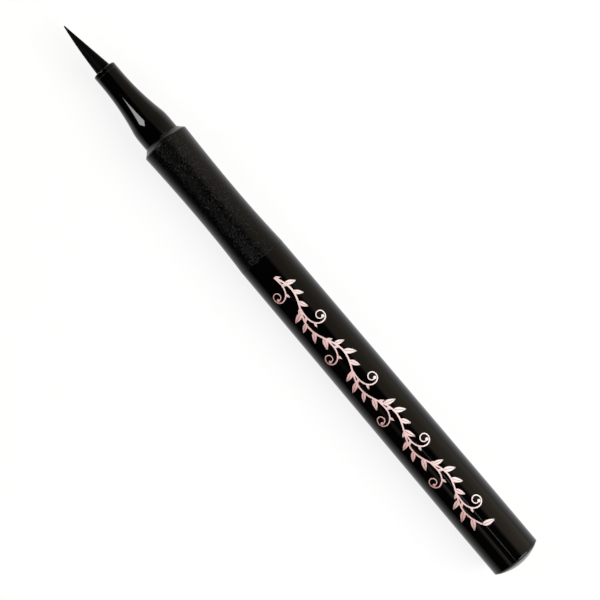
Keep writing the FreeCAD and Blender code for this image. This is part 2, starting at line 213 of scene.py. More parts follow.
# %% Outlines from corners
CROWN = 1
HOLLOW = -1
ARC_STEP = math.radians(5)
LONG_ARC_STEP = 0.25  # mm along an arc of a large radius
FEWEST_STEPS = 4


def arc(start, end, radius, side):
    """The points after start on the short arc to end. Seen along the way, a crown bulges to the left."""
    run, rise = end[0] - start[0], end[1] - start[1]
    chord = math.hypot(run, rise)
    depth = math.sqrt(radius**2 - (chord / 2) ** 2)
    centre_x = (start[0] + end[0]) / 2 + rise / chord * depth * side
    centre_r = (start[1] + end[1]) / 2 - run / chord * depth * side
    turn = 2 * math.asin(chord / 2 / radius)
    count = max(FEWEST_STEPS, math.ceil(turn / ARC_STEP), math.ceil(turn * radius / LONG_ARC_STEP))
    first = math.atan2(start[1] - centre_r, start[0] - centre_x)
    angles = [first - side * turn * step / count for step in range(1, count + 1)]
    return [(centre_x + radius * math.cos(a), centre_r + radius * math.sin(a)) for a in angles]


def draw(corners, closed):
    """The outline's points, in millimetres."""
    points = []
    for index, corner in enumerate(corners):
        if len(corner) == 4 and (index or closed):
            points += arc(corners[index - 1][:2], corner[:2], *corner[2:])
        else:
            points.append(corner[:2])
    return points


print("a bend of 41 degrees gets", len(arc((0, 0), (1, 1), 2, CROWN)), "edges")

# %% [markdown]
# ### From an outline to a piece
#
# The outline becomes a mesh of loose edges, the lathe's tree turns it, and the result takes the place of
# its CAD node. A closed mesh whose faces point outwards has a positive volume, so the volume is printed
# as a check.

# %% A turned piece
STEPS_ROUND = 192


def volume_of(piece):
    """A closed mesh's volume in cubic millimetres. It is negative if the faces point inwards."""
    solid = bmesh.new()
    solid.from_mesh(piece.data)
    volume = solid.calc_volume(signed=True) / MM**3
    solid.free()
    return volume


def turned(name, corners, material, node, closed=True, segments=STEPS_ROUND):
    """A turned piece that stands for a CAD node."""
    points = draw(corners, closed)
    count = len(points)
    edges = [(i, (i + 1) % count) for i in range(count if closed else count - 1)]
    mesh = bpy.data.meshes.new(name)
    mesh.from_pydata([(r * MM - RING, x * MM, 0) for x, r in points], edges, [])
    piece = bpy.data.objects.new(name, mesh)
    bpy.context.collection.objects.link(piece)
    grow(piece, LATHE, Segments=segments, Height=axis_z * MM, Material=material)
    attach(piece, "pen")
    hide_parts(node)
    print(f"{name}: {len(piece.data.polygons)} faces, {volume_of(piece):.1f} mm3")
    return piece


# %% [markdown]
# ## Colours and finishes
#
# Colours are written as a painter's hex values and turned to the linear values that light needs. Every
# finish is named for its real material and starts from typical values for it.

# %% Colour and finish


def colour(code):
    """An sRGB hex value as linear red, green, blue and alpha."""
    parts = [int(code[i : i + 2], 16) / 255 for i in (1, 3, 5)]
    linear = [c / 12.92 if c <= 0.04045 else ((c + 0.055) / 1.055) ** 2.4 for c in parts]
    return (*linear, 1)


def finish(name, **inputs):
    """A material with one Principled shader, and the tree, shader and place to go on from."""
    material = bpy.data.materials.new(name)
    material.use_nodes = True
    tree = material.node_tree
    shader = tree.nodes["Principled BSDF"]
    for label, value in inputs.items():
        shader.inputs[label.replace("_", " ")].default_value = value
    place = add(tree, "ShaderNodeTexCoord").outputs["Object"]
    print("finish:", name)
    return material, tree, shader, place


print(f"half way to white for the eye is {colour('#808080')[0]:.3f} of its light")

# %% [markdown]
# ### Texture
#
# No real surface is even. An image of one could be wrapped round a piece, but noise has no seams, and its
# grain can be given a real size. So every finish is built from patterns: one dulls the shine here and
# there, one raises the surface, and on some a third clouds the colour.

# %% Texture
NOISE = (0.3, 0.7)  # nearly all of a noise's values lie between these
MIX_FIRST, MIX_LAST, MIX_TINT = 6, 7, 2  # a Mix node's colour sockets, whose names others share


def grain(tree, place, size, detail=2, stretch=(1, 1, 1)):
    """Noise whose grains are this many metres across, unless they are stretched."""
    mapped = add(tree, "ShaderNodeMapping", {"Vector": place, "Scale": stretch})
    noise = {"Vector": mapped, "Scale": 1 / size, "Detail": detail}
    return add(tree, "ShaderNodeTexNoise", noise).outputs["Fac"]


def surface(tree, shader, dulled, haze, raised, depth, span=NOISE):
    """Lets one pattern vary the roughness over haze, and another raise the surface by depth metres."""
    rough = {"Value": dulled, "From Min": span[0], "From Max": span[1]}
    rough.update({"To Min": haze[0], "To Max": haze[1]})
    roughness = add(tree, "ShaderNodeMapRange", rough)
    relief = add(tree, "ShaderNodeBump", {"Height": raised, "Distance": depth, "Strength": 1})
    tree.links.new(roughness.outputs[0], shader.inputs["Roughness"])
    tree.links.new(relief.outputs[0], shader.inputs["Normal"])


def cloud(tree, shader, pattern, first, last, span=NOISE):
    """Fades the base colour from the first to the last of two, as the pattern goes over its span."""
    share = add(tree, "ShaderNodeMapRange", {"Value": pattern, "From Min": span[0], "From Max": span[1]})
    blend = {0: share, MIX_FIRST: colour(first), MIX_LAST: colour(last)}
    tint = add(tree, "ShaderNodeMix", blend, data_type="RGBA")
    tree.links.new(tint.outputs[MIX_TINT], shader.inputs["Base Color"])


# %% [markdown]
# ### Polished black ABS
#
# The nose cone, the barrel and the end plug are moulded in a polished steel mould. Black pigment swallows
# the light that enters, so nearly all that the eye gets is the reflection. What keeps it from looking
# computed is the very slight waviness that the plastic takes on as it shrinks, and a speck of dust here
# and there. The specks could be small pieces of their own, but the cells of a Voronoi texture scatter
# them at no cost.

# %% Polished black ABS
BLACK, DUST = "#020202", "#4A4844"
SMUDGE = 9 * MM
SHRINK_WAVE = 2.5 * MM
DUST_SPACING = 5 * MM
DUST_SIZE = 0.016  # a speck's radius, as a share of the spacing


def polished_black_abs():
    """Polished ABS: a deep colour, and a clean reflection with the faintest waviness."""
    material, tree, shader, place = finish("polished_black_abs", IOR=1.52)
    smudges = grain(tree, place, SMUDGE)
    waves = grain(tree, place, SHRINK_WAVE, detail=1)
    surface(tree, shader, dulled=smudges, haze=(0.05, 0.09), raised=waves, depth=0.002 * MM)
    cells = add(tree, "ShaderNodeTexVoronoi", {"Vector": place, "Scale": 1 / DUST_SPACING})
    near_middle = {0: cells.outputs["Distance"], 1: DUST_SIZE}
    speck = add(tree, "ShaderNodeMath", near_middle, operation="LESS_THAN")
    cloud(tree, shader, speck, BLACK, DUST, span=(0, 1))
    return material


GLOSS_BLACK = polished_black_abs()

# %% [markdown]
# ### Satin black ABS
#
# The shoulder between the cone and the grip is moulded too, but its mould was only blasted, so its
# chamfer catches a softer light than the cone beside it. A mix of two shaders could do that. More
# roughness is enough.

# %% Satin black ABS
BLASTED = 0.1 * MM


def satin_black_abs():
    """Moulded ABS with a satin face: the same black, and a reflection spread a little wider."""
    material, tree, shader, place = finish("satin_black_abs", Base_Color=colour("#050505"), IOR=1.52)
    rubbed, blasted = grain(tree, place, 0.6 * MM), grain(tree, place, BLASTED)
    surface(tree, shader, dulled=rubbed, haze=(0.16, 0.22), raised=blasted, depth=0.001 * MM)
    return material


SATIN_BLACK = satin_black_abs()

# %% [markdown]
# ### Soft-touch lacquer
#
# The grip is sprayed with a rubbery lacquer. It reflects as much light as the gloss plastic does, but its
# fine grain scatters it, so the skin reads as a dark grey bloom with no sharp highlight. Roughness alone
# would leave it flat. A Voronoi texture gives each grain a haze and a height of its own, and some of them
# catch the light.

# %% Soft-touch lacquer
GRAIN = 0.18 * MM  # coarser than the real grain, which is too fine to show


def soft_touch_lacquer():
    """Soft-touch lacquer: a matt black skin whose fine grain breaks the light up."""
    material, tree, shader, place = finish("soft_touch_lacquer", Base_Color=colour(BLACK), IOR=1.5)
    grains = add(tree, "ShaderNodeTexVoronoi", {"Vector": place, "Scale": 1 / GRAIN}).outputs["Color"]
    surface(tree, shader, dulled=grains, haze=(0.14, 0.3), raised=grains, depth=0.01 * MM, span=(0, 1))
    return material


SOFT_TOUCH = soft_touch_lacquer()

# %% [markdown]
# ### Inked fibre
#
# The nib is a bundle of polyester fibres, bonded, ground to a point and soaked in ink. Thousands of thin
# hairs could be grown on it, but at this size only their direction shows, so noise is drawn out along X.
# The pores trap most of the light, which is what a low specular level says.

# %% Inked fibre
FIBRE = 0.12 * MM  # far coarser than one fibre, or it wouldn't show
DRAWN_OUT = (0.05, 1, 1)


def inked_fibre():
    """Bonded polyester fibre, soaked in black ink: dull, with fine streaks along it."""
    dull = {"IOR": 1.45, "Specular_IOR_Level": 0.08}
    material, tree, shader, place = finish("inked_polyester_fibre", Base_Color=colour(BLACK), **dull)
    damp, streaks = grain(tree, place, 0.4 * MM), grain(tree, place, FIBRE, stretch=DRAWN_OUT)
    surface(tree, shader, dulled=damp, haze=(0.45, 0.6), raised=streaks, depth=0.02 * MM)
    return material


NIB_FIBRE = inked_fibre()

# %% [markdown]
# ### Rose foil
#
# Hot-stamping foil is a metal film under a lacquer with a rose tint. It lies on smooth plastic, but the
# stamp leaves it slightly orange-peeled, so it shines broadly rather than like a mirror. Pure metal would
# turn dark here, because it would mirror the dark above the pen, so most of the foil's light is left to
# the pale lacquer. The real tint deepens with the angle that it is seen at. A shader can do that, but
# the exported model would lose it, so that light and shade is painted into the colour instead: painted
# shade in deep rose towards -Y, painted light in near white towards +Y, following the place across the
# pen.

# %% Rose foil
# the foil's real rose, in painted light (near white) and painted shade (deep rose)
FOIL_PAINTED_LIGHT_ROSE, FOIL_PAINTED_SHADE_ROSE = "#FFF6F4", "#FFC0BE"
FOIL_PAINTED_LIGHT_FADE = (-3.6 * MM, 2.4 * MM)  # across the pen, from deep to pale
FOIL_METAL = 0.1  # how much of it is metal rather than lacquer


def hot_stamped_rose_foil():
    """Metallised foil under rose lacquer: a broad, soft shine; painted shade in deep rose to painted
    light in pale.
    """
    material, tree, shader, place = finish("hot_stamped_rose_foil", Metallic=FOIL_METAL)
    across = add(tree, "ShaderNodeSeparateXYZ", {"Vector": place}).outputs["Y"]
    # painted light and shade: deep rose towards -Y, fading to near white towards +Y
    cloud(tree, shader, across, FOIL_PAINTED_SHADE_ROSE, FOIL_PAINTED_LIGHT_ROSE, span=FOIL_PAINTED_LIGHT_FADE)
    worn, peel = grain(tree, place, 0.3 * MM), grain(tree, place, 0.15 * MM)
    surface(tree, shader, dulled=worn, haze=(0.42, 0.52), raised=peel, depth=0.004 * MM)
    return material


ROSE_FOIL = hot_stamped_rose_foil()

# %% [markdown]
# ## The pieces that show
#
# The outlines below repeat the CAD ones, with the small rounds that a mould leaves on every edge.
#
# ### Nib
#
# The nib is a rod of bonded fibre, ground to a point. A cone from the Add menu would be quicker, but its
# side would be dead straight and its tip endlessly sharp. A turned outline gives it the slight belly that
# grinding leaves, a rounded tip, and the socket for the wick, which hides in the nose cone.

# %% Nib
NIB_SIDE = 200  # a very large radius: the nib's side is just not straight
point_length, point_radius, point_round = 0.1, 0.12, 0.14
socket_x, socket_radius = nib_end - 2.6, 0.82

nib = turned(
    "nib_cone",
    [
        (tip_x, 0),
        (tip_x + point_length, point_radius, point_round, CROWN),
        (nose_x, nib_radius, NIB_SIDE, CROWN),
        (nib_end, nib_radius),
        (nib_end, socket_radius),
        (socket_x, socket_radius),
        (socket_x, 0),
    ],
    NIB_FIBRE,
    "nib",
    closed=False,
)

# %% [markdown]
# ### The nib leans
#
# Soft fibre that has been drawn with no longer stands quite straight. A lattice or a Simple Deform
# modifier could bend it. A rule for each vertex is shorter, and says exactly where the bend starts: at
# the mouth of the cone.

# %% The nib leans
NIB_LEAN = 0.38  # how far use has pushed the point aside, towards -Y
LEAN_EARLY = 1.75  # 1 would tilt the free part as it is; more bends it near the mouth


def lean_nib():
    """Bends the nib's free part aside, most of it near the mouth, where the fibres start to give."""
    for vertex in nib.data.vertices:
        free = min(1, max(0, (nose_x - vertex.co.x / MM) / (nose_x - tip_x)))
        vertex.co.y -= NIB_LEAN * MM * (1 - (1 - free) ** LEAN_EARLY)


lean_nib()
tip = min(nib.data.vertices, key=lambda vertex: vertex.co.x)
print(f"the nib's tip stands {-tip.co.y / MM:.2f} mm aside")

# %% [markdown]
# ### The flare of the nose cone
#
# Between its narrow front and the land that the cap slides on to, the nose cone flares in an S of three
# arcs: a hollow, a tight knuckle and a crest, each tangent to the next. A Bezier curve could draw it too,
# but arcs leave the slope known everywhere, and the slope decides where a gloss black cone mirrors the
# lamp. The knuckle's radius and the slopes at its two ends are chosen. The other two radii follow,
# because the S has to reach the land.

# %% The flare
nose_end = core_x - 0.05
nose_front, nose_base = 2.335, 3.6
flare_x, land_x = nose_x + 2.1, nose_end - 1.5
flare_run, flare_rise = land_x - flare_x, nose_base - nose_front
steepest, eased = math.radians(11.9), math.radians(2.9)
knuckle = 8  # the radius that turns the steepest slope to the eased one


def flare_radii():
    """The radii of the hollow and of the crest, which leave the knuckle at the two slopes."""
    run, rise = math.sin(steepest), 1 - math.cos(steepest)
    eased_run, eased_rise = math.sin(eased), 1 - math.cos(eased)
    whole = run * eased_rise - rise * eased_run
    hollow_and_knuckle = (flare_run * eased_rise - flare_rise * eased_run) / whole
    crest_less_knuckle = (run * flare_rise - rise * flare_run) / whole
    return hollow_and_knuckle - knuckle, crest_less_knuckle + knuckle


hollow, crest = flare_radii()
hollow_end = (flare_x + hollow * math.sin(steepest), nose_front + hollow * (1 - math.cos(steepest)))
crest_start = (land_x - crest * math.sin(eased), nose_base - crest * (1 - math.cos(eased)))
print(f"the flare's hollow has a radius of {hollow:.1f} mm, and its crest {crest:.1f} mm")

# %% [markdown]
# ### Nose cone
#
# The nose cone is one moulding: a lip with a fine groove behind it, the flare, the land, and a stem
# inside the grip. A Boolean could bore it hollow. In one outline, the bore is only a few corners more.

# %% Nose cone
mouth, lead_in, mouth_length = 1.55, 0.25, 1.5
lip_round, lip_x = 0.3, nose_x + 0.9
groove, groove_depth = 0.07, 0.05  # half the groove's width, and its depth
edge_round = 0.04
stem_radius = 3.15
collar_bore, wide_bore = 1.935, 2.435
taper_x, wide_x = nose_x + 10.5, nose_x + 11

turned(
    "nose_shell",
    [
        (nose_x + lead_in, mouth),
        (nose_x, mouth + lead_in),
        (nose_x, nose_front - lip_round),
        (nose_x + lip_round, nose_front, lip_round, CROWN),
        (lip_x, nose_front),
        (lip_x + groove, nose_front - groove_depth),
        (lip_x + 2 * groove, nose_front),
        (flare_x, nose_front),
        (*hollow_end, hollow, HOLLOW),
        (*crest_start, knuckle, CROWN),
        (land_x, nose_base, crest, CROWN),
        (nose_end - edge_round, nose_base),
        (nose_end, nose_base - edge_round, edge_round, CROWN),
        (nose_end, stem_radius),
        (stem_end, stem_radius),
        (stem_end, wide_bore),
        (wide_x, wide_bore),
        (taper_x, collar_bore),
        (nose_x + mouth_length, collar_bore),
        (nose_x + mouth_length, mouth),
    ],
    GLOSS_BLACK,
    "nose_cone",
)

# %% [markdown]
# ### Shoulder
#
# The shoulder is the front rim of the inner tube that joins the nose cone, the grip and the barrel. Only
# its chamfer shows. The rest is turned all the same, down to the barb that snaps into the barrel, because
# the lathe draws a whole tube as easily as a ring.

# %% Shoulder
core_bore, core_radius, rim = 3.17, 3.85, 4.55
front_edge, front_run, front_rise = nose_base - 0.04, 0.04, 0.06
chamfer_end, chamfer_round, chamfer_bend = grip_x - 0.08, 0.05, 0.09
rim_round = 0.03
neck_length = 10  # the barrel's neck, behind which the core's barb snaps in
barb_x, barb_height, barb_length = barrel_x + neck_length + 0.02, 0.2, 0.9
stop_bore, stop_x = core_bore - 0.85, core_end - 1.5

turned(
    "shoulder_core",
    [
        (core_x, core_bore),
        (core_x, front_edge),
        (core_x + front_run, front_edge + front_rise, front_rise, CROWN),
        (chamfer_end - chamfer_round, rim - chamfer_round),
        (chamfer_end, rim, chamfer_bend, CROWN),
        (grip_x - rim_round, rim),
        (grip_x, rim - rim_round, rim_round, CROWN),
        (grip_x, core_radius),
        (barb_x, core_radius),
        (barb_x, core_radius + barb_height),
        (barb_x + barb_length, core_radius),
        (core_end, core_radius),
        (core_end, stop_bore),
        (stop_x, stop_bore),
        (stop_x, core_bore),
    ],
    SATIN_BLACK,
    "section_core",
)

# %% [markdown]
# ### Grip
#
# The grip is a sleeve with a shallow waist for the fingers. Two arcs draw it, and both lie level where
# they meet at the waist, so that the shine runs on without a kink. Their radii follow from how far each
# runs and rises.

# %% Grip
grip_front, waist, seam = 4.72, 4.425, 4.785
waist_x = grip_x + 15
sleeve_bore = 3.87
front_round, rear_round = 0.15, 0.03
arc_start, arc_end = grip_x + front_round, grip_end - rear_round


def level_arc(run, rise):
    """The radius of an arc that starts level and rises this much over this run."""
    return (run**2 + rise**2) / (2 * rise)


turned(
    "grip_skin",
    [
        (grip_x, sleeve_bore),
        (grip_x, grip_front - front_round),
        (arc_start, grip_front, front_round, CROWN),
        (waist_x, waist, level_arc(waist_x - arc_start, grip_front - waist), HOLLOW),
        (arc_end, seam, level_arc(arc_end - waist_x, seam - waist), HOLLOW),
        (grip_end, seam - rear_round, rear_round, CROWN),
        (grip_end, sleeve_bore),
    ],
    SOFT_TOUCH,
    "grip_sleeve",
)

# %% [markdown]
# ### Barrel
#
# The barrel is a tube that widens a little over most of its length, and then runs straight to its rear
# end. A long gloss cylinder shows every facet in its reflections, so it is turned in more steps than the
# other pieces.

# %% Barrel
BARREL_STEPS_ROUND = 256
land_start = barrel_end - 12.5
barrel_bore, neck_bore = 4.2, 3.87
neck_end = barrel_x + neck_length
seam_round, end_round = 0.05, 0.2

turned(
    "barrel_tube",
    [
        (barrel_x, neck_bore),
        (barrel_x, seam - seam_round),
        (barrel_x + seam_round, seam, seam_round, CROWN),
        (land_start, barrel_radius),
        (barrel_end - end_round, barrel_radius),
        (barrel_end, barrel_radius - end_round, end_round, CROWN),
        (barrel_end, barrel_bore),
        (neck_end, barrel_bore),
        (neck_end, neck_bore),
    ],
    GLOSS_BLACK,
    "barrel",
    segments=BARREL_STEPS_ROUND,
)

# %% [markdown]
# ### End plug
#
# A low dome closes the barrel's rear end. It is pressed in, and a fine dark line is left all round,
# between its edge and the barrel's. A flattened sphere would do for the dome alone. An outline also draws
# the dome's straight edge, which makes that line, and the hollow skirt that holds it in the barrel.

# %% End plug
bare_end = 0.56  # how much of the barrel's end is left bare round the dome
dome_radius, dome_edge = barrel_radius - bare_end, 0.22
dome_face = barrel_end + 0.02
skirt, skirt_wall = barrel_bore - 0.14, 0.8  # the ribs in the gap to the bore are left to the CAD
pit_x, roof_x = plug_x + 8.9, dome_face + 0.3

turned(
    "end_dome",
    [
        (roof_x, 0),
        (pit_x, skirt - skirt_wall),
        (plug_x, skirt - skirt_wall),
        (plug_x, skirt),
        (dome_face, skirt),
        (dome_face, dome_radius),
        (dome_face + dome_edge, dome_radius),
        (dome_x, 0, level_arc(dome_radius, dome_x - dome_face - dome_edge), CROWN),
    ],
    GLOSS_BLACK,
    "end_plug",
    closed=False,
)

# %% [markdown]
# ## The foil ornament
#
# A hot stamp presses foil on the plastic through the shape of a raised die. The ornament here is an old
# kind, a running scroll: a stem that sways along the barrel, a tendril that curls into each bay, leaves,
# and a berry in each curl. It could be drawn by hand, but its rule is short, so a tree of nodes draws it
# flat and then bends it round the barrel. Lengths along the pen are measured from the same origin as the
# CAD model.
#
# The sizes come first, because the whole look of the scroll hangs on them.

# %% The scroll's sizes
SCROLL_START, SCROLL_END = barrel_x + 4.2, barrel_x + 63.0
SCROLL_BAYS = 8
SCROLL_SWING = 1.1
SCROLL_CENTRE = -0.75  # how far round the barrel the stem lies from the top, towards -Y
STEM_WIDTH, TENDRIL_WIDTH = 0.34, 0.3
STEM_TAPER, TENDRIL_TAPER = 0.8, 0.6  # the width at the end, as a share of the width at the start
FOIL_THICKNESS = 0.036
FOIL_SINK = 0.003  # the foil's middle lies this deep, so that its underside is in the plastic
print(f"each bay is {(SCROLL_END - SCROLL_START) / SCROLL_BAYS:.2f} mm long")

# %% [markdown]
# ### A band of foil
#
# Foil is thin, but it isn't nothing: a band with a real thickness catches light along its edges. A
# bevelled curve object could make it. In a tree, Curve to Mesh also tapers the band towards its end, like
# a pen stroke.

# %% A flat curve becomes a band of foil


def band(tree, curve, width, taper):
    """Gives a flat curve foil's width and thickness. It narrows to this share at its end."""
    along = add(tree, "GeometryNodeSplineParameter").outputs["Factor"]
    narrowing = add(tree, "ShaderNodeMapRange", {"Value": along, "To Min": 1, "To Max": taper})
    flat = add(tree, "GeometryNodeSetCurveNormal", {"Curve": curve}, mode="Z_UP")
    sizes = {"Width": width * MM, "Height": FOIL_THICKNESS * MM}
    section = add(tree, "GeometryNodeCurvePrimitiveQuadrilateral", sizes, mode="RECTANGLE")
    return add(
        tree,
        "GeometryNodeCurveToMesh",
        {"Curve": flat, "Profile Curve": section, "Scale": narrowing, "Fill Caps": True},
    )


# %% [markdown]
# ### The stem
#
# The stem is the scroll's backbone. It could be drawn as a Bezier curve with a handle at each bend, but a
# straight line moved aside by a sine sways evenly, and the same rule tells the tendrils where each bay
# starts.

# %% The swaying stem
STEM_STEPS = 240


def stem(tree, given):
    """A line along the pen that sways like a sine, half a wave in each bay."""
    length = add(tree, "ShaderNodeCombineXYZ", {"X": given["Length"]})
    line = add(tree, "GeometryNodeCurvePrimitiveLine", {"End": length})
    fine = add(tree, "GeometryNodeResampleCurve", {"Curve": line, "Count": STEM_STEPS})
    along = add(tree, "GeometryNodeSplineParameter").outputs["Factor"]
    half_waves = add(tree, "ShaderNodeMath", {0: along, 1: given["Bays"]}, operation="MULTIPLY")
    phase = add(tree, "ShaderNodeMath", {0: half_waves, 1: math.pi}, operation="MULTIPLY")
    sine = add(tree, "ShaderNodeMath", {0: phase}, operation="SINE")
    sway = add(tree, "ShaderNodeMath", {0: sine, 1: SCROLL_SWING * MM}, operation="MULTIPLY")
    aside = add(tree, "ShaderNodeCombineXYZ", {"Y": sway})
    return add(tree, "GeometryNodeSetPosition", {"Geometry": fine, "Offset": aside})


# %% [markdown]
# ### A tendril
#
# Blender's Spiral node winds at a steady pace, but a plant's tendril starts almost straight and closes up
# quickly. So the tendril is walked step by step: each step has a heading, and Accumulate Field adds the
# steps up to a path.

# %% A tendril that curls up
TENDRIL_REACH = 11.4
TENDRIL_TURN = math.radians(500)
TENDRIL_HEADING = math.radians(8)
QUICKENING = 2.2  # how suddenly a tendril curls up
TENDRIL_STEPS = 80


def tendril(tree):
    """A curve drawn step by step, whose heading turns faster and faster, so that it ends in a curl."""
    line = add(tree, "GeometryNodeCurvePrimitiveLine")
    fine = add(tree, "GeometryNodeResampleCurve", {"Curve": line, "Count": TENDRIL_STEPS})
    along = add(tree, "GeometryNodeSplineParameter").outputs["Factor"]
    share = add(tree, "ShaderNodeMath", {0: along, 1: QUICKENING}, operation="POWER")
    turning = {"Value": share, "To Min": TENDRIL_HEADING, "To Max": TENDRIL_HEADING - TENDRIL_TURN}
    heading = add(tree, "ShaderNodeMapRange", turning)
    forward = add(tree, "ShaderNodeMath", {0: heading}, operation="COSINE")
    sideways = add(tree, "ShaderNodeMath", {0: heading}, operation="SINE")
    step = add(tree, "ShaderNodeCombineXYZ", {"X": forward, "Y": sideways})
    length = {0: step, "Scale": TENDRIL_REACH * MM / TENDRIL_STEPS}
    stride = add(tree, "ShaderNodeVectorMath", length, operation="SCALE")
    path = add(tree, "GeometryNodeAccumulateField", {"Value": stride}, data_type="FLOAT_VECTOR")
    return add(
        tree, "GeometryNodeSetPosition", {"Geometry": fine, "Position": path.outputs["Trailing"]}
    )


# %% [markdown]
# ### Half a leaf
#
# Each leaf is two pointed halves with a bare line between them, as an engraver cuts one. A half could be
# cut out of a grid, but that leaves ragged edges. A block of a few cells, bulged out by half a sine wave,
# is smooth with few faces, and few are needed: the leaf is only 2.5 mm long, and it is repeated many
# times.

# %% Half a leaf
LEAF_LENGTH, LEAF_WIDTH, MIDRIB = 2.5, 1.0, 0.07
LEAF_CELLS = 12
LEAF_BELLY = 0.75  # under 1, the leaf is widest nearer its stalk


def leaf_half(tree):
    """One pointed half of a leaf: a block whose outer side is bulged out."""
    cells = {"Size": (1, 1, 1), "Vertices X": LEAF_CELLS + 1, "Vertices Y": 3, "Vertices Z": 2}
    block = add(tree, "GeometryNodeMeshCube", cells)
    position = add(tree, "GeometryNodeInputPosition")
    place = add(tree, "ShaderNodeSeparateXYZ", {"Vector": position}).outputs
    along = add(tree, "ShaderNodeMath", {0: place["X"], 1: 0.5}, operation="ADD")
    across = add(tree, "ShaderNodeMath", {0: place["Y"], 1: 0.5}, operation="ADD")
    skewed = add(tree, "ShaderNodeMath", {0: along, 1: LEAF_BELLY}, operation="POWER")
    phase = add(tree, "ShaderNodeMath", {0: skewed, 1: math.pi}, operation="MULTIPLY")
    bulge = add(tree, "ShaderNodeMath", {0: phase}, operation="SINE")
    reach = add(tree, "ShaderNodeMath", {0: bulge, 1: across}, operation="MULTIPLY")
    width = {"Value": reach, "To Min": MIDRIB / 2 * MM, "To Max": LEAF_WIDTH / 2 * MM}
    length = {"Value": along, "To Max": LEAF_LENGTH * MM}
    half_thick = FOIL_THICKNESS / 2 * MM
    thick = {"Value": place["Z"], "From Min": -0.5, "From Max": 0.5}
    thick.update({"To Min": -half_thick, "To Max": half_thick})
    sides = [add(tree, "ShaderNodeMapRange", side) for side in (length, width, thick)]
    shape = add(tree, "ShaderNodeCombineXYZ", dict(zip("XYZ", sides)))
    return add(tree, "GeometryNodeSetPosition", {"Geometry": block, "Position": shape})


# %% [markdown]
# ### A whole leaf
#
# The half is turned over about the leaf's length to make the other one. A mirror would do it too, but it
# turns the faces inside out. Then the whole leaf is curled a little aside, more and more towards its tip.

# %% A whole leaf
LEAF_CURL = 0.05 / MM  # times the square of the distance along the leaf, how far it curls aside
HALF_TURN = (math.pi, 0, 0)


def leaf(tree):
    """A pointed, slightly curling leaf: two halves, with the bare line of a midrib between them."""
    half = leaf_half(tree)
    other = add(tree, "GeometryNodeTransform", {"Geometry": half, "Rotation": HALF_TURN})
    both = add(tree, "GeometryNodeJoinGeometry", {"Geometry": [half, other]})
    position = add(tree, "GeometryNodeInputPosition")
    length = add(tree, "ShaderNodeSeparateXYZ", {"Vector": position}).outputs["X"]
    square = add(tree, "ShaderNodeMath", {0: length, 1: length}, operation="MULTIPLY")
    curl = add(tree, "ShaderNodeMath", {0: square, 1: LEAF_CURL}, operation="MULTIPLY")
    aside = add(tree, "ShaderNodeCombineXYZ", {"Y": curl})
    return add(tree, "GeometryNodeSetPosition", {"Geometry": both, "Offset": aside})


# %% [markdown]
# ### Leaves along a curve
#
# Stem and tendrils carry the same leaf. It could be copied and turned by hand, but instances cost nothing
# until they are made real, so one leaf is drawn, and each point on a curve gets it at its own heading,
# side and size.

# %% Leaves along a curve
LEAF_LEAN = math.radians(40)
SEED = 7
RANDOM_LOW, RANDOM_HIGH, RANDOM_SIZE = 2, 3, 1  # a Random Value node's sockets for plain numbers


def leaves(tree, curve, count, blade, side, sizes, chosen):
    """Sets leaves at the chosen points along a curve, leaning off it to this side."""
    points = add(tree, "GeometryNodeCurveToPoints", {"Curve": curve, "Count": count})
    tangent = add(tree, "ShaderNodeSeparateXYZ", {"Vector": points.outputs["Tangent"]}).outputs
    heading = add(tree, "ShaderNodeMath", {0: tangent["Y"], 1: tangent["X"]}, operation="ARCTAN2")
    lean = add(tree, "ShaderNodeMath", {0: side, 1: LEAF_LEAN}, operation="MULTIPLY")
    turn = add(tree, "ShaderNodeMath", {0: heading, 1: lean}, operation="ADD")
    over = {"Value": side, "From Min": -1, "From Max": 1, "To Min": math.pi, "To Max": 0}
    flip = add(tree, "ShaderNodeMapRange", over)
    rotation = add(tree, "ShaderNodeCombineXYZ", {"X": flip, "Z": turn})
    spread = {RANDOM_LOW: sizes[0], RANDOM_HIGH: sizes[1], "Seed": SEED}
    size = add(tree, "FunctionNodeRandomValue", spread).outputs[RANDOM_SIZE]
    set_out = {"Points": points, "Selection": chosen, "Instance": blade}
    set_out.update({"Rotation": rotation, "Scale": size})
    return add(tree, "GeometryNodeInstanceOnPoints", set_out)


# %% [markdown]
# ### A dressed tendril
#
# A bare curl looks thin beside the stem. Small leaves on its outer side and a berry in its eye fill the
# bay, as they do in carved and printed scrolls.

# %% A tendril with its leaves and berry
TENDRIL_LEAVES = 7
BARE_FROM = 3  # from this leaf on they are left out, because they would crowd the curl
SMALL_LEAVES = (0.42, 0.5)  # a leaf's size, as a share of the whole leaf's
BERRY_RADIUS, BERRY_SIDES = 0.3, 24
OUTSIDE = 1


def dressed_tendril(tree, blade):
    """A tendril in foil, with small leaves on its outer side and a berry in its curl."""
    curve = tendril(tree)
    index = add(tree, "GeometryNodeInputIndex")
    chosen = add(tree, "ShaderNodeMath", {0: index, 1: BARE_FROM}, operation="LESS_THAN")
    small = leaves(tree, curve, TENDRIL_LEAVES, blade, OUTSIDE, SMALL_LEAVES, chosen)
    tip = add(tree, "GeometryNodeCurveEndpointSelection", {"Start Size": 0, "End Size": 1})
    sizes = {"Vertices": BERRY_SIDES, "Radius": BERRY_RADIUS * MM, "Depth": FOIL_THICKNESS * MM}
    disc = add(tree, "GeometryNodeMeshCylinder", sizes, fill_type="TRIANGLE_FAN")
    eye = {"Points": curve, "Selection": tip, "Instance": disc}
    berry = add(tree, "GeometryNodeInstanceOnPoints", eye)
    stroke = band(tree, curve, TENDRIL_WIDTH, TENDRIL_TAPER)
    return add(tree, "GeometryNodeJoinGeometry", {"Geometry": [stroke, small, berry]})


# %% [markdown]
# ### One tendril in each bay
#
# The tendrils leave the stem by turns to either side. Every other one is the same tendril turned over
# about its length, which keeps its faces outwards, where a mirror would turn them in.

# %% One tendril in each bay


